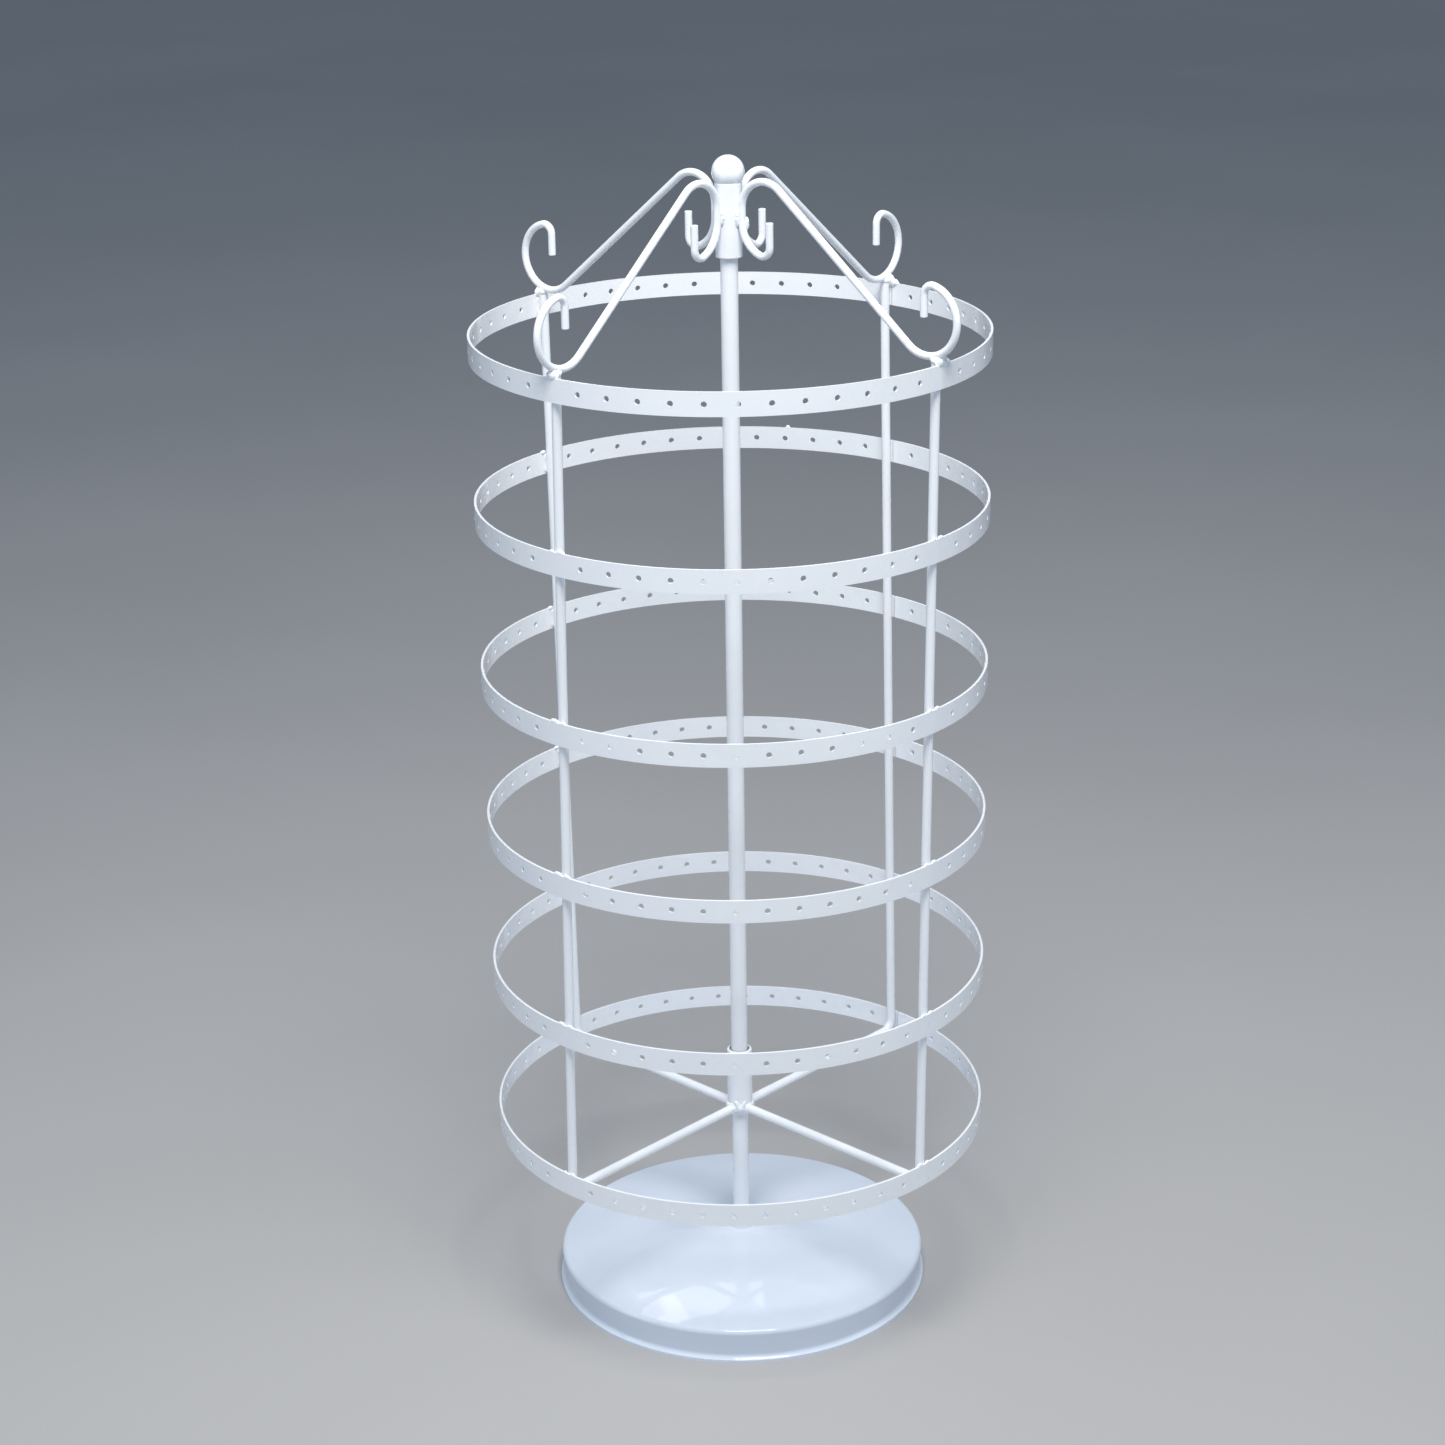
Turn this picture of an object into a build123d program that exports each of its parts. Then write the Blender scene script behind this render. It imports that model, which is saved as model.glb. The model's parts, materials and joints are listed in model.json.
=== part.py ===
from build123d import *
import math
import os

# Rotating display rack: a wire cage that turns on a pole standing on a domed steel foot.
# Sizes are in millimetres and angles in degrees. Z is the pole's axis and the axis of the spin,
# z = 0 is the surface that the rack stands on, and -Y is the front. In the outline of a wire or of
# the foot, a point is (distance from the pole's axis, height).

# Rings: six hoops rolled from perforated flat strip, not quite evenly spaced
ring_outer_radius = 110
ring_thickness = 1.0
ring_height = 10
ring_middles = [88, 159.5, 229, 297.5, 371, 443]
hole_radius = 1.2
holes_per_quarter = 13
seam_gap = 0.6
seam_offset = 2.3

# Uprights: four rods inside the rings, each bent inwards at the bottom into a spoke. The cage is
# welded up with a slight twist, which carries the rods' tops round from above their spokes.
upright_sides = {"right": 0, "back": 90, "left": 180, "front": 270}
rod_radius = 2.0
rod_bend_radius = 5.5
spoke_height = 84.5
cage_twist = 3.2

# Sleeves: two short tubes, loose on the pole, that carry the spokes and the scrolls
sleeve_outer_radius = 5.7
sleeve_inner_radius = 4.6
sleeve_length = 31.5
sleeve_edge_radius = 0.7
lower_sleeve_bottom = 81.8
upper_sleeve_top = 509.2

# Scrolls: four wires from the upper sleeve down to the tops of the uprights
wire_radius = 1.6
wire_tip_rounding = 0.4
crest_radius = 12
crest_centre_height = 499
loop_radius = 14.5
loop_centre = (102.5, 465)
loop_end_angle = 77.5
loop_hook_radius = 4
loop_tip_height = 466
curl_radius = 14
curl_turn = 70
curl_hook_radius = 4
curl_start_height = 493.5
curl_tip_height = 494.5

# Pole: a tube with a pivot in its top end and a threaded plug in its foot
pole_radius = 3.75
pole_bore_radius = 2.75
pole_top = 497.5
pivot_stem_length = 10
pivot_flange_height = 1
pivot_tip_radius = 2.5
foot_plug_length = 16
collar_radius = 5.4
collar_height = 4
collar_rounding = 1.2

# Finial: the ball that closes the upper sleeve and rests on the pivot
ball_radius = 6.9
total_height = 520.2

# Foot: a pressed dish of sheet steel with a flat seat for the pole, a round shoulder and a wall
# that narrows a little down to its waist and then flares out into a short rim
dish_rim_radius = 84.4
dish_rim_height = 1.2
dish_waist_radius = 82.7
dish_waist_height = 3.4
dish_shoulder_radius = 83.7
dish_shoulder_height = 15.2
dish_shoulder_rounding = 2
dish_thickness = 1.5
seat_radius = 8
seat_height = 22.5

# Screw and washer that hold the pole on the foot from below
screw_radius = 2
screw_hole_radius = 2.2
screw_length = 17
screw_head_radius = 3.8
screw_head_height = 2.6
screw_socket_radius = 1.5
screw_socket_depth = 1.6
washer_radius = 8
washer_thickness = 1.2

# Worked out from the sizes above
ring_inner_radius = ring_outer_radius - ring_thickness
rod_circle_radius = ring_inner_radius - rod_radius
rod_top = loop_centre[1] - loop_radius
hole_pitch_angle = 90 / holes_per_quarter
seam_angle = 90 - math.degrees(seam_offset / ring_outer_radius)
wire_axis_distance = sleeve_outer_radius + wire_radius
ball_centre_height = total_height - ball_radius
spigot_bottom = pole_top + pivot_flange_height + pivot_tip_radius
seat_underside = seat_height - dish_thickness
washer_underside = seat_underside - washer_thickness
screw_head_bottom = washer_underside - screw_head_height


def tube(outer_radius, inner_radius, bottom, length):
    """A straight tube about the pole's axis."""
    outline = Circle(outer_radius) - Circle(inner_radius)
    return Pos(0, 0, bottom) * extrude(outline, length)


def rod(radius, bottom, length):
    """A straight solid cylinder about the pole's axis."""
    return Pos(0, 0, bottom) * extrude(Circle(radius), length)


def round_wire(path, radius):
    """A round wire along a smooth path."""
    start = Plane(origin=path @ 0, z_dir=path % 0)
    return sweep(start * Circle(radius), path=path)


def twist_at(height):
    """How far round from the spokes the cage's twist has carried an upright at a height."""
    return cage_twist * (height - spoke_height) / (rod_top - spoke_height)


def turned(outline):
    """The solid made by turning an outline of (radius, height) points about the pole's axis."""
    return revolve(Plane.XZ * make_face(outline), Axis.Z)


def polar(centre, radius, angle):
    """The point at an angle on a circle."""
    turn = math.radians(angle)
    return (centre[0] + radius * math.cos(turn), centre[1] + radius * math.sin(turn))


def ring(middle):
    """A hoop with a butt seam beside the back upright, and holes except behind the uprights."""
    hoop = tube(ring_outer_radius, ring_inner_radius, middle - ring_height / 2, ring_height)
    # both cutters stand on the wall's middle and run well past its faces
    cutter_place = Pos(ring_outer_radius - ring_thickness / 2, 0, middle)
    drill = cutter_place * Rot(0, 90, 0) * Cylinder(hole_radius, ring_height)
    slit = cutter_place * Box(ring_height, seam_gap, 2 * ring_height)
    places = [place for place in range(4 * holes_per_quarter) if place % holes_per_quarter]
    drills = [Rot(0, 0, place * hole_pitch_angle) * drill for place in places]
    return Rot(0, 0, twist_at(middle)) * (hoop - drills - Rot(0, 0, seam_angle) * slit)


def scroll_path():
    """One wire's centre line, from its curled inner tip, over the crest, to its hooked outer tip."""
    curl_centre = (wire_axis_distance + curl_radius, curl_start_height)
    curl_hook_centre = polar(curl_centre, curl_radius - curl_hook_radius, 180 + curl_turn)
    crest_centre = (wire_axis_distance + crest_radius, crest_centre_height)
    loop_hook_centre = polar(loop_centre, loop_radius - loop_hook_radius, loop_end_angle)

    # the straight run is the crossing tangent of the crest's circle and the loop's circle
    run = Vector(*loop_centre) - Vector(*crest_centre)
    run_angle = math.degrees(math.atan2(run.Y, run.X))
    crossing_angle = math.degrees(math.asin((crest_radius + loop_radius) / run.length))
    normal_angle = 90 + run_angle - crossing_angle

    curl_hook_end = polar(curl_hook_centre, curl_hook_radius, 0)
    loop_hook_end = polar(loop_hook_centre, loop_hook_radius, 180)
    curves = [
        Line((curl_hook_end[0], curl_tip_height), curl_hook_end),
        CenterArc(curl_hook_centre, curl_hook_radius, 0, curl_turn - 180),
        CenterArc(curl_centre, curl_radius, 180 + curl_turn, -curl_turn),
        Line(polar(curl_centre, curl_radius, 180), polar(crest_centre, crest_radius, 180)),
        CenterArc(crest_centre, crest_radius, 180, normal_angle - 180),
        Line(polar(crest_centre, crest_radius, normal_angle),
             polar(loop_centre, loop_radius, normal_angle + 180)),
        CenterArc(loop_centre, loop_radius, normal_angle + 180, 180 + loop_end_angle - normal_angle),
        CenterArc(loop_hook_centre, loop_hook_radius, loop_end_angle, 180 - loop_end_angle),
        Line(loop_hook_end, (loop_hook_end[0], loop_tip_height)),
    ]
    return Plane.XZ * Wire([edge for curve in curves for edge in curve.edges()])


def scroll():
    """A scroll wire in the XZ plane, with softened tips."""
    wire = round_wire(scroll_path(), wire_radius)
    tips = wire.faces().filter_by(GeomType.PLANE)
    return fillet(tips.edges(), wire_tip_rounding)


def upright(scroll_above):
    """The right-hand upright and its spoke, coped to fit the lower sleeve and the scroll above it."""
    path = FilletPolyline(
        (0, 0, spoke_height),
        (rod_circle_radius, 0, spoke_height),
        (*polar((0, 0), rod_circle_radius, cage_twist), rod_top),
        radius=rod_bend_radius,
    )
    sleeve_space = rod(sleeve_outer_radius, lower_sleeve_bottom, sleeve_length)
    return round_wire(path, rod_radius) - sleeve_space - scroll_above


def sleeve(bottom):
    """A tube with softened outer edges."""
    body = tube(sleeve_outer_radius, sleeve_inner_radius, bottom, sleeve_length)
    outer_edges = [end.outer_wire().edge() for end in body.faces().filter_by(Axis.Z)]
    return fillet(outer_edges, sleeve_edge_radius)


def finial():
    """A ball, cut flat to sit on the upper sleeve, with a spigot that rests on the pivot."""
    ball = Pos(0, 0, ball_centre_height) * Sphere(ball_radius)
    seated_ball = split(ball, bisect_by=Plane.XY.offset(upper_sleeve_top))
    return seated_ball + rod(sleeve_inner_radius, spigot_bottom, ball_centre_height - spigot_bottom)


def pivot():
    """A plug in the pole's top end: a stem, a flange on the tube's end and a ball-ended tip."""
    flange_top = pole_top + pivot_flange_height
    stem = rod(pole_bore_radius, pole_top - pivot_stem_length, pivot_stem_length)
    flange = rod(pole_radius, pole_top, pivot_flange_height)
    return stem + flange + Pos(0, 0, flange_top) * Sphere(pivot_tip_radius)


def pole():
    """The fixed tube, from the foot's seat up into the upper sleeve."""
    return tube(pole_radius, pole_bore_radius, seat_height, pole_top - seat_height)


def foot_plug():
    """A threaded plug in the pole's lower end; the thread is left plain."""
    return tube(pole_bore_radius, screw_radius, seat_height, foot_plug_length)


def foot_collar():
    """A ring round the pole's lower end, rounded on top."""
    collar = tube(collar_radius, pole_radius, seat_height, collar_height)
    top = collar.faces().sort_by(Axis.Z)[-1]
    return fillet(top.outer_wire().edges(), collar_rounding)


def dish():
    """The foot: a shallow dome with a wall and a flared rim, open underneath."""
    seat_edge = (seat_radius, seat_height)
    rim_top = (dish_rim_radius, dish_rim_height)
    middle = Polyline(seat_edge, (0, seat_height), (0, 0), (dish_rim_radius, 0), rim_top)
    wall = Line((dish_shoulder_radius, dish_shoulder_height), (dish_waist_radius, dish_waist_height))
    flare = TangentArc(wall @ 1, rim_top, tangent=wall % 1)
    dome = TangentArc(seat_edge, wall @ 0, tangent=(1, 0))
    body = turned(middle + flare + wall + dome)
    circles = body.edges().filter_by(GeomType.CIRCLE)
    shoulder_circle = circles.sort_by(lambda circle: abs(circle.radius - dish_shoulder_radius))[0]
    body = fillet(shoulder_circle, dish_shoulder_rounding)
    underside = body.faces().sort_by(Axis.Z)[0]
    shell = offset(body, amount=-dish_thickness, openings=underside)
    return shell - rod(screw_hole_radius, 0, seat_height)


def screw():
    """The socket-head screw that pulls the pole down on to the foot."""
    head = rod(screw_head_radius, screw_head_bottom, screw_head_height)
    shank = rod(screw_radius, washer_underside, screw_length)
    socket = extrude(RegularPolygon(screw_socket_radius, 6), screw_socket_depth)
    return head + shank - Pos(0, 0, screw_head_bottom) * socket


def washer():
    """The washer between the screw's head and the underside of the foot."""
    return tube(washer_radius, screw_hole_radius, washer_underside, washer_thickness)


def build():
    """Every sub-part by its name, in place."""
    nodes = {
        "base_dish": dish(),
        "base_washer": washer(),
        "base_screw": screw(),
        "pole": pole(),
        "pole_foot_plug": foot_plug(),
        "pole_foot_collar": foot_collar(),
        "pole_pivot": pivot(),
        "lower_sleeve": sleeve(lower_sleeve_bottom),
        "upper_sleeve": sleeve(upper_sleeve_top - sleeve_length),
        "finial_ball": finial(),
    }
    for number, middle in enumerate(ring_middles, start=1):
        nodes[f"ring_{number}"] = ring(middle)
    right_scroll = Rot(0, 0, cage_twist) * scroll()
    right_upright = upright(right_scroll)
    for side, angle in upright_sides.items():
        nodes[f"upright_{side}"] = Rot(0, 0, angle) * right_upright
        nodes[f"scroll_{side}"] = Rot(0, 0, angle) * right_scroll
    return nodes


os.makedirs("parts", exist_ok=True)
for name, solid in build().items():
    solid.label = name
    export_step(solid, f"parts/{name}.step")
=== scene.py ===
"""The rotating display rack's looks: enamel and plated steel, the welds that join the cage, and the studio.

Lengths are in metres and angles in degrees, unless a name says otherwise. Z is the pole's axis and -Y is
the front. The spokes lie on the X and Y axes, at the turns in SIDE_TURNS, and the cage's twist carries the
uprights round from there towards their tops.
"""
import bmesh
import bpy
import json
import math
from mathutils import Matrix, Vector, noise


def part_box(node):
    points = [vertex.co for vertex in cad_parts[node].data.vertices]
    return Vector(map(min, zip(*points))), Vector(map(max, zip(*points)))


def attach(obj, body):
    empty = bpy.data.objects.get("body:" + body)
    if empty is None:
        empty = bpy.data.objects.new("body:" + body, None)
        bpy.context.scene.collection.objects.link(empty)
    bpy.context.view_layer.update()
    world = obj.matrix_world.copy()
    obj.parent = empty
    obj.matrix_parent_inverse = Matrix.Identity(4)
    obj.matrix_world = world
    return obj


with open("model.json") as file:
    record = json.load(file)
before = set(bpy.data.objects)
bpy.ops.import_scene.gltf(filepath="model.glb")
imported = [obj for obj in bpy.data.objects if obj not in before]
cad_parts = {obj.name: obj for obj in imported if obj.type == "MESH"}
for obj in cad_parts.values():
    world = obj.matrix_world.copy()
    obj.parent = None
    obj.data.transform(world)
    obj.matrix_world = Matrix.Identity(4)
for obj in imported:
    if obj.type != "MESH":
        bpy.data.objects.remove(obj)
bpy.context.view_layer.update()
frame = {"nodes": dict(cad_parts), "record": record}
nodes = frame["nodes"]

SIDE_TURNS = {"right": 0, "back": 90, "left": 180, "front": 270}
HOOPS = [f"ring_{number}" for number in range(1, 7)]


# ---- Sizes read from the frame ----

def turn_about_pole(angle):
    """The matrix of a turn about the pole's axis."""
    return Matrix.Rotation(math.radians(angle), 4, "Z")


hoop_inner_radius = min(vertex.co.xy.length for vertex in nodes["ring_6"].data.vertices)
hoop_outer_radius = max(vertex.co.xy.length for vertex in nodes["ring_6"].data.vertices)
hoop_middle = (hoop_inner_radius + hoop_outer_radius) / 2
hoop_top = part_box("ring_6")[1].z

rod_low, rod_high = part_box("upright_right")
rod_radius = -rod_low.y
rod_distance = hoop_inner_radius - rod_radius
spoke_height = rod_low.z + rod_radius
rod_top = rod_high.z
cage_twist = math.degrees(math.asin((rod_high.y - rod_radius) / rod_distance))

wire_points = [turn_about_pole(-cage_twist) @ vertex.co for vertex in nodes["scroll_right"].data.vertices]
wire_radius = max(point.y for point in wire_points)
wire_reach = max(point.x for point in wire_points)
wire_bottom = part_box("scroll_right")[0].z
sleeve_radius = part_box("upper_sleeve")[1].x
wire_distance = sleeve_radius + wire_radius
upper_sleeve_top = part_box("upper_sleeve")[1].z


def twist_at(height):
    """How far round from the spokes the cage's twist has carried an upright at a height."""
    return cage_twist * (height - spoke_height) / (rod_top - spoke_height)


def rod_point(height):
    """A point on the right-hand upright's axis."""
    return turn_about_pole(twist_at(height)) @ Vector((rod_distance, 0, height))


# ---- Mesh helpers ----

UNMOVED = Matrix.Identity(4)


def piece(name, bm, material, body):
    """Turns a bmesh into a smooth-shaded object that rides on a body."""
    bmesh.ops.recalc_face_normals(bm, faces=bm.faces)
    mesh = bpy.data.meshes.new(name)
    bm.to_mesh(mesh)
    bm.free()
    mesh.shade_smooth()
    mesh.materials.append(material)
    obj = bpy.data.objects.new(name, mesh)
    bpy.context.scene.collection.objects.link(obj)
    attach(obj, body)
    return obj


def add_loft(bm, sections, in_a_ring=False):
    """A closed solid through a row of closed outlines that have the same number of points.

    In a ring, the last outline joins on to the first.
    """
    rows = [[bm.verts.new(point) for point in section] for section in sections]
    count = len(rows[0])
    for row, following in zip(rows, rows[1:] + rows[:1] if in_a_ring else rows[1:]):
        for i in range(count):
            after = (i + 1) % count
            bm.faces.new((row[i], row[after], following[after], following[i]))
    if not in_a_ring:
        bm.faces.new(rows[0])
        bm.faces.new(rows[-1])


def add_ellipsoid(bm, centre, half_sizes, matrix=UNMOVED):
    """An ellipsoid along the matrix's own axes."""
    place = matrix @ Matrix.Translation(centre) @ Matrix.Diagonal((*half_sizes, 1))
    bmesh.ops.create_icosphere(bm, subdivisions=3, radius=1, matrix=place)


def add_rod(bm, start, end, radius, matrix=UNMOVED):
    """A round bar with flat ends between two points."""
    aim = (end - start).to_track_quat("Z", "Y").to_matrix().to_4x4()
    place = matrix @ Matrix.Translation((start + end) / 2) @ aim
    bmesh.ops.create_cone(bm, cap_ends=True, segments=32, radius1=radius, radius2=radius,
                          depth=(end - start).length, matrix=place)


def add_bent_rod(bm, centre, bend_radius, first_angle, last_angle, radius, matrix=UNMOVED):
    """A round bar bent to an arc in the XZ plane."""
    steps = 24
    points_round = 24
    sideways = Vector((0, 1, 0))
    sections = []
    for step in range(steps + 1):
        angle = math.radians(first_angle + (last_angle - first_angle) * step / steps)
        outward = Vector((math.cos(angle), 0, math.sin(angle)))
        middle = Vector(centre) + bend_radius * outward
        section = []
        for number in range(points_round):
            angle_round = math.tau * number / points_round
            rim = math.cos(angle_round) * outward + math.sin(angle_round) * sideways
            section.append(matrix @ (middle + radius * rim))
        sections.append(section)
    add_loft(bm, sections)


def add_hoop_piece(bm, inner_radius, outer_radius, bottom, top, half_angle, matrix=UNMOVED):
    """A short stretch of a hoop about the pole's axis."""
    steps = 12
    corners = ((inner_radius, bottom), (outer_radius, bottom), (outer_radius, top), (inner_radius, top))
    sections = []
    for step in range(steps + 1):
        angle = half_angle * (2 * step / steps - 1)
        place = matrix @ turn_about_pole(angle)
        sections.append([place @ Vector((radius, 0, height)) for radius, height in corners])
    add_loft(bm, sections)


# The size of the lumps in weld metal, and of the facets in a fused skin
WELD_GRAIN = 0.0012
SKIN_GRAIN = 0.0003


def fused(name, bm, material, body, smoothing, roughen):
    """Fuses overlapping solids into one skin, then smooths it so that hollow corners fill like a weld.

    Last, the skin is roughened with soft lumps of the given height.
    """
    obj = piece(name, bm, material, body)
    remesh = obj.modifiers.new("fuse", "REMESH")
    remesh.mode = "VOXEL"
    remesh.voxel_size = SKIN_GRAIN
    remesh.use_smooth_shade = True
    smooth = obj.modifiers.new("flow", "SMOOTH")
    smooth.factor = 0.5
    smooth.iterations = smoothing
    graph = bpy.context.evaluated_depsgraph_get()
    finished = bpy.data.meshes.new_from_object(obj.evaluated_get(graph))
    obj.modifiers.clear()
    obj.data = finished
    lumps = [roughen * noise.noise(v.co / WELD_GRAIN) * v.normal for v in finished.vertices]
    for vertex, lump in zip(finished.vertices, lumps):
        vertex.co += lump
    finished.shade_smooth()
    return obj


# ---- Node material helpers ----

def new_material(name):
    """An empty node material with its surface shader and the point in the part's own frame."""
    material = bpy.data.materials.new(name)
    material.use_nodes = True
    tree = material.node_tree
    shader = tree.nodes["Principled BSDF"]
    point = tree.nodes.new("ShaderNodeTexCoord").outputs["Object"]
    return material, tree, shader, point


def noise_value(tree, point, size, detail=2.0):
    """Soft noise whose features are about the given size across."""
    node = tree.nodes.new("ShaderNodeTexNoise")
    node.inputs["Scale"].default_value = 1 / size
    node.inputs["Detail"].default_value = detail
    tree.links.new(point, node.inputs["Vector"])
    return node.outputs["Fac"]


def remap(tree, value, low, high, from_low=0.35, from_high=0.65):
    """Spreads a value over a range. As it stands, it takes in the middle of what soft noise gives."""
    node = tree.nodes.new("ShaderNodeMapRange")
    node.inputs["From Min"].default_value = from_low
    node.inputs["From Max"].default_value = from_high
    node.inputs["To Min"].default_value = low
    node.inputs["To Max"].default_value = high
    tree.links.new(value, node.inputs["Value"])
    return node.outputs["Result"]


def blend_colours(tree, value, first, second):
    """A mix of two colours by a value from 0 to 1."""
    node = tree.nodes.new("ShaderNodeMix")
    node.data_type = "RGBA"
    node.inputs["A"].default_value = (*first, 1)
    node.inputs["B"].default_value = (*second, 1)
    tree.links.new(value, node.inputs["Factor"])
    return node.outputs["Result"]


def add_bump(tree, shader, height, depth, below=None):
    """Relief of a real depth, laid over another relief if there is one. Returns its normal."""
    node = tree.nodes.new("ShaderNodeBump")
    node.inputs["Distance"].default_value = depth
    tree.links.new(height, node.inputs["Height"])
    if below:
        tree.links.new(below, node.inputs["Normal"])
    tree.links.new(node.outputs["Normal"], shader.inputs["Normal"])
    return node.outputs["Normal"]


def add_nibs(tree, point, spacing, nib_radius, share):
    """Height of rare round specks of dust under the paint: 1 at a speck's middle, 0 elsewhere."""
    cells = tree.nodes.new("ShaderNodeTexVoronoi")
    cells.inputs["Scale"].default_value = 1 / spacing
    tree.links.new(point, cells.inputs["Vector"])
    near = remap(tree, cells.outputs["Distance"], 1, 0, 0, nib_radius / spacing)
    pick = tree.nodes.new("ShaderNodeSeparateColor")
    tree.links.new(cells.outputs["Color"], pick.inputs["Color"])
    chosen = tree.nodes.new("ShaderNodeMath")
    chosen.operation = "LESS_THAN"
    chosen.inputs[1].default_value = share
    tree.links.new(pick.outputs["Red"], chosen.inputs[0])
    both = tree.nodes.new("ShaderNodeMath")
    both.operation = "MULTIPLY"
    tree.links.new(near, both.inputs[0])
    tree.links.new(chosen.outputs["Value"], both.inputs[1])
    return both.outputs["Value"]


# ---- Materials ----

# How large the enamel's clouds of shade and patches of gloss are, and its slow waves
CLOUD_SIZE = 0.03
GLOSS_SIZE = 0.012
WAVE_SIZE = 0.009
WAVE_DEPTH = 0.00003

# Dust nibs: the size of the cells they are dealt out in, and the share of cells that get one
NIB_SPACING = 0.012
NIB_SHARE = 0.12
NIB_RADIUS = 0.0004
NIB_HEIGHT = 0.00006


def enamel(name, shade, tint, roughness, specular, coat, coat_roughness, peel_size, peel_depth):
    """Sprayed and baked white enamel: orange peel, slow waves, dust nibs and a slightly uneven shade."""
    material, tree, shader, point = new_material(name)
    cloud = remap(tree, noise_value(tree, point, CLOUD_SIZE), 0, 1)
    tree.links.new(blend_colours(tree, cloud, shade, tint), shader.inputs["Base Color"])
    gloss = remap(tree, noise_value(tree, point, GLOSS_SIZE), roughness * 0.8, roughness * 1.25)
    tree.links.new(gloss, shader.inputs["Roughness"])
    shader.inputs["Specular IOR Level"].default_value = specular
    shader.inputs["Coat Weight"].default_value = coat
    shader.inputs["Coat Roughness"].default_value = coat_roughness
    waves = add_bump(tree, shader, noise_value(tree, point, WAVE_SIZE, 0), WAVE_DEPTH)
    tree.links.new(waves, shader.inputs["Coat Normal"])
    peel = add_bump(tree, shader, noise_value(tree, point, peel_size), peel_depth, waves)
    nibs = add_nibs(tree, point, NIB_SPACING, NIB_RADIUS, NIB_SHARE)
    add_bump(tree, shader, nibs, NIB_HEIGHT, peel)
    return material


ZINC_BLUE = (0.60, 0.62, 0.66)
ZINC_YELLOW = (0.68, 0.66, 0.60)
TURNING_MARK = 0.0012


def plated_steel():
    """Bright zinc plate with fine turning marks about the pole's axis and a faint cast of colour."""
    material, tree, shader, point = new_material("plated_steel")
    cast = remap(tree, noise_value(tree, point, 0.004), 0, 1)
    colour = blend_colours(tree, cast, ZINC_BLUE, ZINC_YELLOW)
    tree.links.new(colour, shader.inputs["Base Color"])
    shader.inputs["Metallic"].default_value = 1
    grain = remap(tree, noise_value(tree, point, 0.0015), 0.22, 0.38)
    tree.links.new(grain, shader.inputs["Roughness"])
    marks = tree.nodes.new("ShaderNodeTexWave")
    marks.wave_type = "RINGS"
    marks.rings_direction = "Z"
    marks.inputs["Scale"].default_value = 1 / TURNING_MARK
    marks.inputs["Distortion"].default_value = 0.6
    tree.links.new(point, marks.inputs["Vector"])
    add_bump(tree, shader, marks.outputs["Fac"], 0.00001)
    return material


FLOOR_SHADE = (0.44, 0.43, 0.425)
FLOOR_TINT = (0.46, 0.45, 0.445)


def studio_paper():
    """A pale, matt paper floor."""
    material, tree, shader, point = new_material("studio_paper")
    cloud = remap(tree, noise_value(tree, point, 0.4), 0, 1)
    tree.links.new(blend_colours(tree, cloud, FLOOR_SHADE, FLOOR_TINT), shader.inputs["Base Color"])
    shader.inputs["Roughness"].default_value = 0.85
    shader.inputs["Specular IOR Level"].default_value = 0.2
    add_bump(tree, shader, noise_value(tree, point, 0.002), 0.00005)
    return material


cage_enamel = enamel("cage_enamel", shade=(0.87, 0.89, 0.92), tint=(0.89, 0.905, 0.93),
                     roughness=0.26, specular=0.15, coat=0.7, coat_roughness=0.10,
                     peel_size=0.0016, peel_depth=0.000015)
# The foot's white is darker and bluer than the cage's. This is painted shade: the real foot is the same
# white enamel as the cage.
foot_enamel = enamel("foot_enamel", shade=(0.70, 0.76, 0.855), tint=(0.72, 0.775, 0.865),
                     roughness=0.20, specular=0, coat=0.8, coat_roughness=0.02,
                     peel_size=0.0026, peel_depth=0.000006)
zinc = plated_steel()

material_slots = {"white_enamel": cage_enamel, "foot_enamel": foot_enamel, "plated_steel": zinc}
for subpart in frame["record"]["subparts"]:
    mesh = nodes[subpart["node"]].data
    mesh.materials.clear()
    mesh.materials.append(material_slots[subpart["material_slot"]])


# ---- Welds ----

# How far a weld's skin lies inside the metal that it joins, so that it shows only in the corners
HIDDEN = 0.0001
BEAD_HIDDEN = 0.00015

# A bead's reach along the hoop from the rod's middle, the share of it left at the bead's two ends, and
# what its two lumps add to it. A lump is (its place up the hoop, its spread), both as shares of the
# hoop's height.
BEAD_FOOT = 0.0023
LEAST_BEAD_FOOT = 0.0009
BEAD_END_SHARE = 0.45
BEAD_LUMP = 0.0011
BEAD_LUMPS = ((0.85, 0.16), (0.12, 0.14))

# How far round the rod a bead climbs: by itself, and more the larger it is
BEAD_CLIMB = 52
BEAD_EXTRA_CLIMB = 12

# The gap between a bead's ends and the hoop's edges, and the steps along a bead and across its face
BEAD_MARGIN = 0.0005
BEAD_STEPS = 16
BEAD_CURVE_STEPS = 6

# The back upright and its side where the hoops' ends meet
SEAM_CORNER = (SIDE_TURNS["back"], -1)


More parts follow.
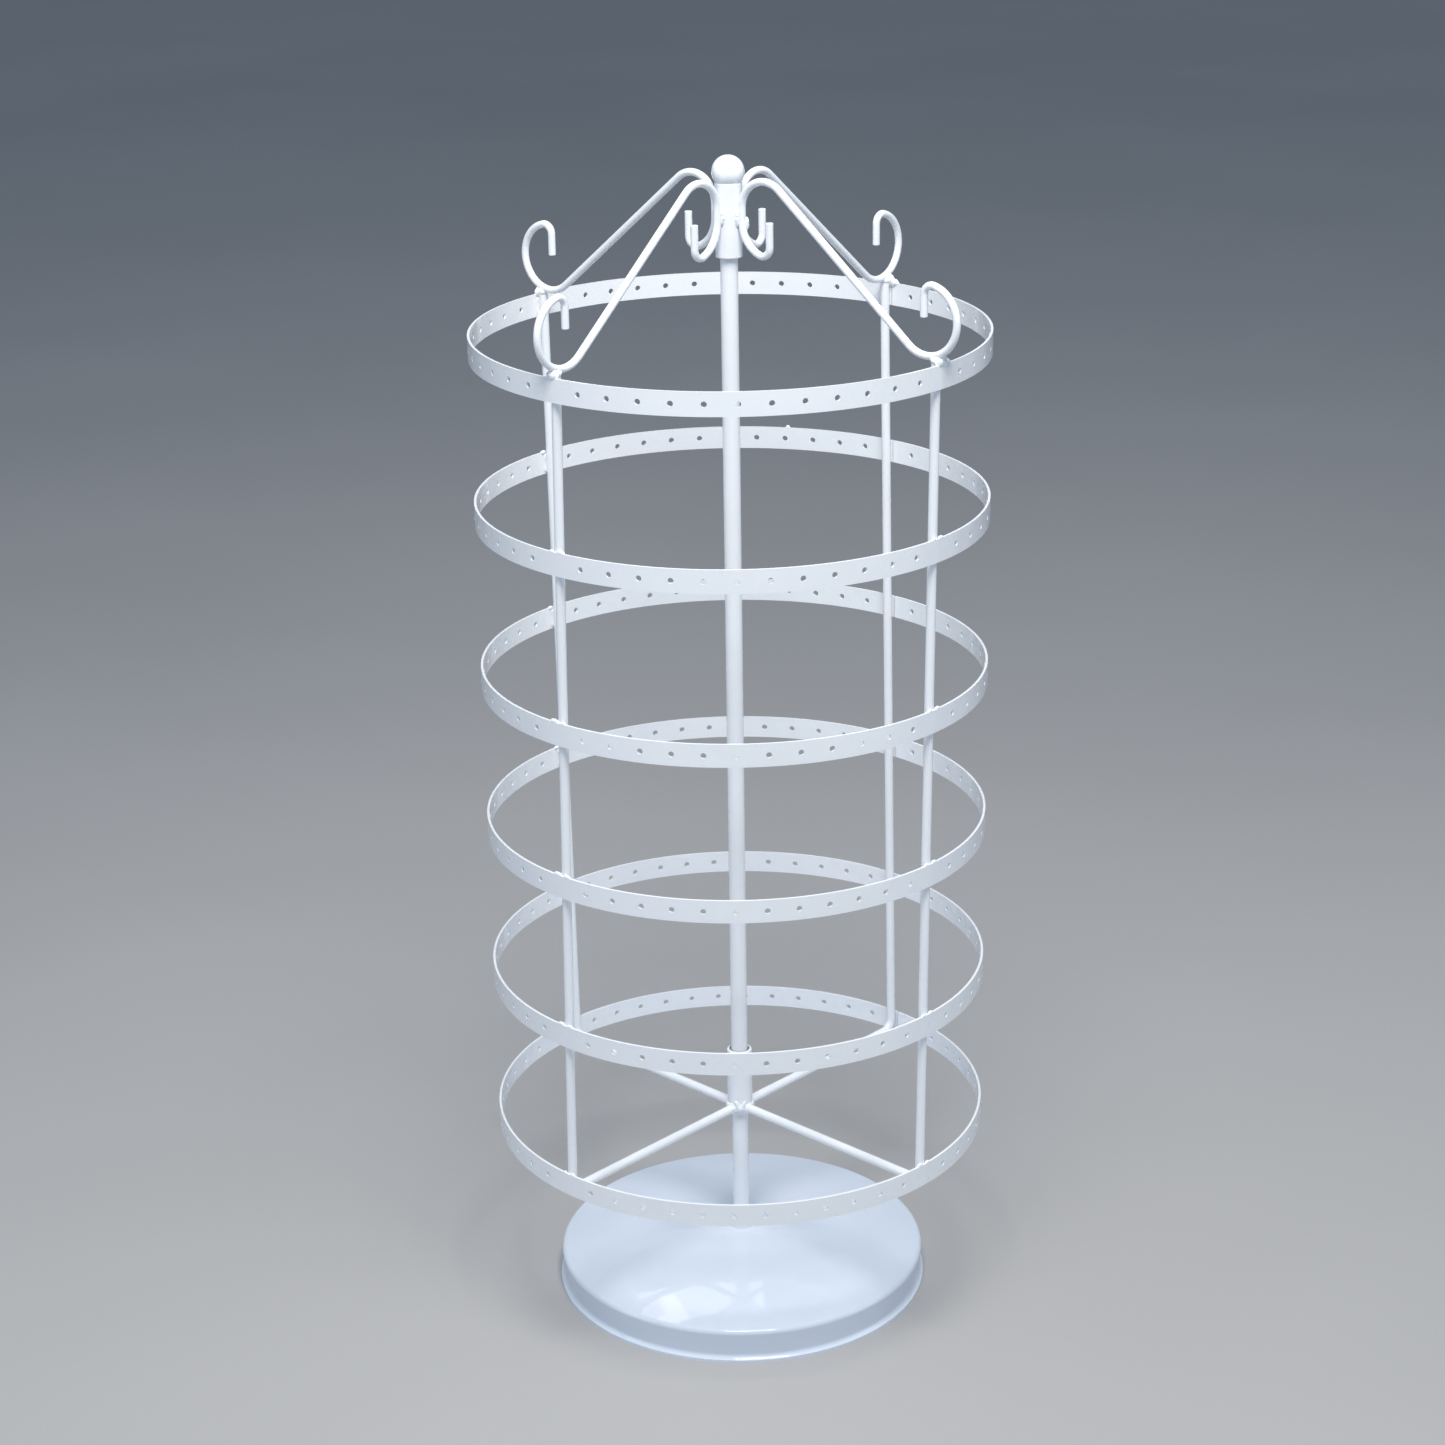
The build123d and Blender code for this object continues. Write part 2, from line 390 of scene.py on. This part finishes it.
def bead_section(foot, side, height):
    """Outline, seen from above, of the metal in the corner between a rod and the hoop outside it.

    Its open side curves from the hoop's wall, a foot's length from the rod's middle, on to the rod.
    """
    climb = math.radians(BEAD_CLIMB + BEAD_EXTRA_CLIMB * foot / BEAD_FOOT)
    wall = Vector((math.sqrt(hoop_inner_radius ** 2 - foot ** 2) + BEAD_HIDDEN, foot))
    up_rod = Vector((math.cos(climb), math.sin(climb)))
    on_rod = Vector((rod_distance, 0)) + (rod_radius - BEAD_HIDDEN) * up_rod
    hidden_in_rod = Vector((rod_distance + rod_radius / 2, rod_radius / 4))
    hidden_in_hoop = Vector((hoop_inner_radius + 2 * BEAD_HIDDEN, BEAD_HIDDEN))
    halfway = (wall + on_rod) / 2
    pull = halfway + 0.25 * (Vector((hoop_inner_radius, 0)) - halfway)
    curve = []
    for step in range(BEAD_CURVE_STEPS + 1):
        t = step / BEAD_CURVE_STEPS
        curve.append((1 - t) ** 2 * wall + 2 * t * (1 - t) * pull + t ** 2 * on_rod)
    outline = [hidden_in_hoop, *curve, hidden_in_rod]
    return [Vector((p.x, side * p.y, height)) for p in outline]


def add_hoop_bead(bm, low, high, turn, side):
    """One tack weld beside an upright, thickest near the hoop's two edges."""
    sections = []
    for step in range(BEAD_STEPS + 1):
        along = step / BEAD_STEPS
        height = low.z + BEAD_MARGIN + along * (high.z - low.z - 2 * BEAD_MARGIN)
        fullness = math.sqrt(1 - (2 * along - 1) ** 6)
        lumps = sum(math.exp(-((along - place) / spread) ** 2) for place, spread in BEAD_LUMPS)
        chance = 0.5 + noise.noise(Vector((turn, side * 3, height / (2 * WELD_GRAIN))))
        foot = BEAD_FOOT * (BEAD_END_SHARE + (1 - BEAD_END_SHARE) * fullness)
        foot = max(foot + BEAD_LUMP * lumps * chance, LEAST_BEAD_FOOT)
        matrix = turn_about_pole(turn + twist_at(height))
        sections.append([matrix @ point for point in bead_section(foot, side, height)])
    add_loft(bm, sections)


def add_edge_drop(bm, high, turn, side):
    """A drop of weld metal on the hoop's top edge, in the corner beside an upright.

    Chance, from about 0 to 1, makes it longer and taller.
    """
    chance = 0.5 + noise.noise(Vector((turn / 7, 5 * side, high.z / WELD_GRAIN)))
    depth = 0.0008
    length = 0.0008 + 0.0016 * chance
    rise = 0.0005 + 0.0007 * chance
    centre = (hoop_inner_radius + depth / 4, side * (rod_radius + 0.3 * length), high.z)
    add_ellipsoid(bm, centre, (depth, length, rise), turn_about_pole(turn + twist_at(high.z)))


def hoop_welds(hoop):
    """The tack welds of a hoop. There is none in the corner where the hoop's ends meet."""
    low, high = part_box(hoop)
    bm = bmesh.new()
    for turn in SIDE_TURNS.values():
        for side in (-1, 1):
            if (turn, side) == SEAM_CORNER:
                continue
            add_hoop_bead(bm, low, high, turn, side)
            if hoop != HOOPS[-1]:
                add_edge_drop(bm, high, turn, side)
    weld = piece(f"{hoop}_welds", bm, cage_enamel, "cage")


# The outer loop of a scroll, and the stretch of it that a top weld takes in (as angles about its centre)
LOOP_RADIUS = 0.0145
LOOP_CENTRE = (wire_reach - wire_radius - LOOP_RADIUS, 0, wire_bottom + wire_radius + LOOP_RADIUS)
LOOP_WELD_START = -95
LOOP_WELD_END = -42

# The side on which each top weld has run on along the hoop, or 0, and how far
TOP_WELD_RUNS = {"right": 1, "back": -1, "left": 0, "front": 0}
RUN_LENGTH = 0.0026


def top_weld(side, turn):
    """The blob that joins an upright's top end, the top hoop's edge and the scroll above them.

    On some of the uprights the metal has run on along the hoop's edge, to one side of the rod.
    """
    matrix = turn_about_pole(turn + cage_twist)
    bm = bmesh.new()

    # The ends of the rod, scroll and hoop, so that the weld's skin runs on to each of them
    add_rod(bm, rod_point(hoop_top - 0.006), rod_point(hoop_top + 0.0025), rod_radius - HIDDEN,
            turn_about_pole(turn))
    add_bent_rod(bm, LOOP_CENTRE, LOOP_RADIUS, LOOP_WELD_START, LOOP_WELD_END,
                 wire_radius - HIDDEN, matrix)
    add_hoop_piece(bm, hoop_inner_radius + HIDDEN, hoop_outer_radius - HIDDEN,
                   bottom=hoop_top - 0.002, top=hoop_top - HIDDEN, half_angle=3.6, matrix=matrix)

    # The weld metal: on the hoop's edge, on the rod's end, and where it has run on
    add_ellipsoid(bm, (hoop_middle - 0.0006, 0, hoop_top + 0.0009), (0.0018, 0.0031, 0.0023), matrix)
    add_ellipsoid(bm, (rod_distance, 0, hoop_top + 0.0014), (0.0024, 0.0025, 0.0019), matrix)
    if TOP_WELD_RUNS[side]:
        run = RUN_LENGTH * TOP_WELD_RUNS[side]
        add_ellipsoid(bm, (hoop_middle - 0.0006, run / 2, hoop_top + 0.0014),
                      (0.0017, 0.0027, 0.0027), matrix)
        add_ellipsoid(bm, (hoop_middle - 0.0003, run, hoop_top + 0.0003),
                      (0.0014, 0.0036, 0.0019), matrix)
    weld = fused(f"top_weld_{side}", bm, cage_enamel, "cage", smoothing=6, roughen=0.0002)


# The V of dabs on the lower sleeve: how far round each side of it spreads, and how it climbs
V_SPREAD = 14
V_DABS = 4
V_RISE = 0.0011


def lower_sleeve_welds():
    """The spokes' welds on the lower sleeve, with metal in each corner between two spokes.

    In the front corner, dabs of metal climb the sleeve in a rough V.
    """
    bm = bmesh.new()
    spoke_start = Vector((sleeve_radius - 0.0007, 0, spoke_height))
    spoke_end = Vector((sleeve_radius + 0.006, 0, spoke_height))
    for turn in SIDE_TURNS.values():
        matrix = turn_about_pole(turn)
        add_rod(bm, spoke_start, spoke_end, rod_radius - HIDDEN, matrix)
        add_ellipsoid(bm, (sleeve_radius, 0, spoke_height), (0.0012, 0.0028, 0.0027), matrix)
        corner = turn_about_pole(turn + 45)
        add_ellipsoid(bm, (sleeve_radius - 0.0003, 0, spoke_height + 0.0006),
                      (0.0011, 0.0026, 0.0022), corner)
    front_corner = SIDE_TURNS["front"] + 45
    for spread in (-V_SPREAD, V_SPREAD):
        for step in range(V_DABS):
            dab = turn_about_pole(front_corner + spread * (0.4 + 0.3 * step))
            size = 0.0013 - 0.00015 * step
            height = spoke_height + 0.0005 + V_RISE * step
            add_ellipsoid(bm, (sleeve_radius, 0, height), (size, size, size), dab)
    weld = fused("lower_sleeve_welds", bm, cage_enamel, "cage", smoothing=5, roughen=0.0003)


# The middle and length of the stretch where a scroll touches the upper sleeve, and the drop that
# stands out on the right-hand scroll beside it
contact_middle = upper_sleeve_top - 0.01345
CONTACT_LENGTH = 0.0085
DROP_BELOW_MIDDLE = 0.00325


def upper_sleeve_welds():
    """The scroll wires' welds on the upper sleeve, along the short stretch where they touch."""
    bm = bmesh.new()
    for turn in SIDE_TURNS.values():
        matrix = turn_about_pole(turn + cage_twist)
        for side in (-1, 1):
            shift = 0.0008 * noise.noise(Vector((turn, side, 0.5)))
            add_ellipsoid(bm, (sleeve_radius + 0.0001, side * 0.0012, contact_middle + shift),
                          (0.0011, 0.0013, CONTACT_LENGTH / 2), matrix)
    drop_centre = (wire_distance + 0.0012, 0.0012, contact_middle - DROP_BELOW_MIDDLE)
    add_ellipsoid(bm, drop_centre, (0.0013, 0.0014, 0.0030), turn_about_pole(cage_twist))
    weld = fused("upper_sleeve_welds", bm, cage_enamel, "cage", smoothing=4, roughen=0.00025)


# The neck's section, as points (out from the sleeve's side, up from its top)
NECK_OUTLINE = ((-0.0012, -0.0008), (-0.00045, -0.0009), (-0.0002, -0.0001),
                (-0.00015, 0.0005), (0.00015, 0.0011), (-0.0012, 0.0009))
NECK_STEPS = 72
NECK_SWELL = 0.00012


def neck_fillet():
    """The paint and weld metal that fill the groove between the ball and the upper sleeve."""
    bm = bmesh.new()
    sections = []
    for step in range(NECK_STEPS):
        angle = math.tau * step / NECK_STEPS
        swell = NECK_SWELL * noise.noise(Vector((3 * math.cos(angle), 3 * math.sin(angle), 0)))
        matrix = Matrix.Rotation(angle, 4, "Z")
        sections.append([matrix @ Vector((sleeve_radius + out + swell, 0, upper_sleeve_top + up))
                         for out, up in NECK_OUTLINE])
    add_loft(bm, sections, in_a_ring=True)
    fillet = piece("neck_fillet", bm, cage_enamel, "cage")


PEAK_TURN = 119.5
PEAK_HALF_SIZES = (0.0006, 0.0011, 0.0012)


def paint_nib():
    """A small peak of hardened enamel at the back, on the top edge of the second hoop from the top."""
    bm = bmesh.new()
    top_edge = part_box("ring_5")[1].z
    add_ellipsoid(bm, (hoop_middle, 0, top_edge), PEAK_HALF_SIZES, turn_about_pole(PEAK_TURN))
    nib = piece("paint_nib", bm, cage_enamel, "cage")


for hoop in HOOPS:
    hoop_welds(hoop)
for side, turn in SIDE_TURNS.items():
    top_weld(side, turn)
lower_sleeve_welds()
upper_sleeve_welds()
neck_fillet()
paint_nib()


# ---- Studio ----

# The camera stands in front of the rack, and the whole studio is then turned about the pole by ORBIT
ORBIT = 43.25
CAMERA_DISTANCE = 1.28767
CAMERA_HEIGHT = 0.7465
CAMERA_PITCH = -20.249
CAMERA_YAW = -0.246
CAMERA_ROLL = -0.835
LENS_MM = 77.98
SENSOR_MM = 36


def add_camera():
    """The photographer's place and lens."""
    data = bpy.data.cameras.new("camera")
    data.sensor_width = SENSOR_MM
    data.lens = LENS_MM
    camera = bpy.data.objects.new("camera", data)
    bpy.context.scene.collection.objects.link(camera)
    place = turn_about_pole(ORBIT) @ Matrix.Translation((0, -CAMERA_DISTANCE, CAMERA_HEIGHT))
    heading = Matrix.Rotation(math.radians(-CAMERA_YAW), 4, "Z")
    tilt = Matrix.Rotation(math.radians(90 + CAMERA_PITCH), 4, "X")
    roll = Matrix.Rotation(math.radians(CAMERA_ROLL), 4, "Z")
    camera.matrix_world = place @ heading @ tilt @ roll
    bpy.context.scene.camera = camera


def add_softbox(name, azimuth, elevation, aim_height, distance, size, power, colour):
    """A rectangular lamp that faces the pole at a height, from a distance.

    Azimuth 0 is straight behind the rack from the camera, and 90 is to the camera's right.
    """
    data = bpy.data.lights.new(name, "AREA")
    data.shape = "RECTANGLE"
    data.size, data.size_y = size
    data.energy = power
    data.color = colour
    lamp = bpy.data.objects.new(name, data)
    bpy.context.scene.collection.objects.link(lamp)
    around = math.radians(azimuth)
    up = math.radians(elevation)
    direction = Vector((math.sin(around) * math.cos(up), math.cos(around) * math.cos(up), math.sin(up)))
    aim = direction.to_track_quat("Z", "Y").to_matrix().to_4x4()
    place = Matrix.Translation(Vector((0, 0, aim_height)) + distance * direction)
    lamp.matrix_world = turn_about_pole(ORBIT) @ place @ aim


WORLD_BLUE = (0.62, 0.78, 1.0)
WORLD_STRENGTH = 0.32
FLOOR_HALF_WIDTH = 15


def add_world():
    """Dim, bluish light from every side."""
    world = bpy.data.worlds.new("studio")
    world.use_nodes = True
    background = world.node_tree.nodes["Background"]
    background.inputs["Color"].default_value = (*WORLD_BLUE, 1)
    background.inputs["Strength"].default_value = WORLD_STRENGTH
    bpy.context.scene.world = world


def add_floor():
    """A flat floor that the rack stands on."""
    bm = bmesh.new()
    bmesh.ops.create_grid(bm, x_segments=1, y_segments=1, size=FLOOR_HALF_WIDTH)
    mesh = bpy.data.meshes.new("floor")
    bm.to_mesh(mesh)
    bm.free()
    mesh.materials.append(studio_paper())
    floor = bpy.data.objects.new("floor", mesh)
    bpy.context.scene.collection.objects.link(floor)


WHITE = (1, 1, 1)
WARM_WHITE = (1, 0.98, 0.94)
COOL_WHITE = (0.80, 0.90, 1)
SKY_BLUE = (0.45, 0.7, 1)

add_camera()
add_world()
add_floor()

# The two window panes that the foot mirrors
add_softbox("window_left", azimuth=-12.7, elevation=47.6, aim_height=0.02, distance=2.2,
            size=(0.17, 0.32), power=0.32, colour=WHITE)
add_softbox("window_right", azimuth=-4.5, elevation=47.6, aim_height=0.02, distance=2.2,
            size=(0.40, 0.32), power=0.75, colour=WHITE)

# The main light from above the camera, and weaker ones that lift the front and both sides
add_softbox("key", azimuth=174, elevation=64.4, aim_height=0.3, distance=1.275,
            size=(0.55, 0.55), power=19.5, colour=WARM_WHITE)
add_softbox("fill_front", azimuth=180, elevation=8, aim_height=0.15, distance=2.4,
            size=(0.8, 0.8), power=4, colour=SKY_BLUE)
add_softbox("fill_left", azimuth=-110, elevation=14, aim_height=0.42, distance=1.7,
            size=(0.7, 0.9), power=5, colour=COOL_WHITE)
add_softbox("fill_right", azimuth=100, elevation=14, aim_height=0.42, distance=1.7,
            size=(0.7, 0.9), power=4, colour=COOL_WHITE)
bpy.context.scene.view_settings.view_transform = "Standard"
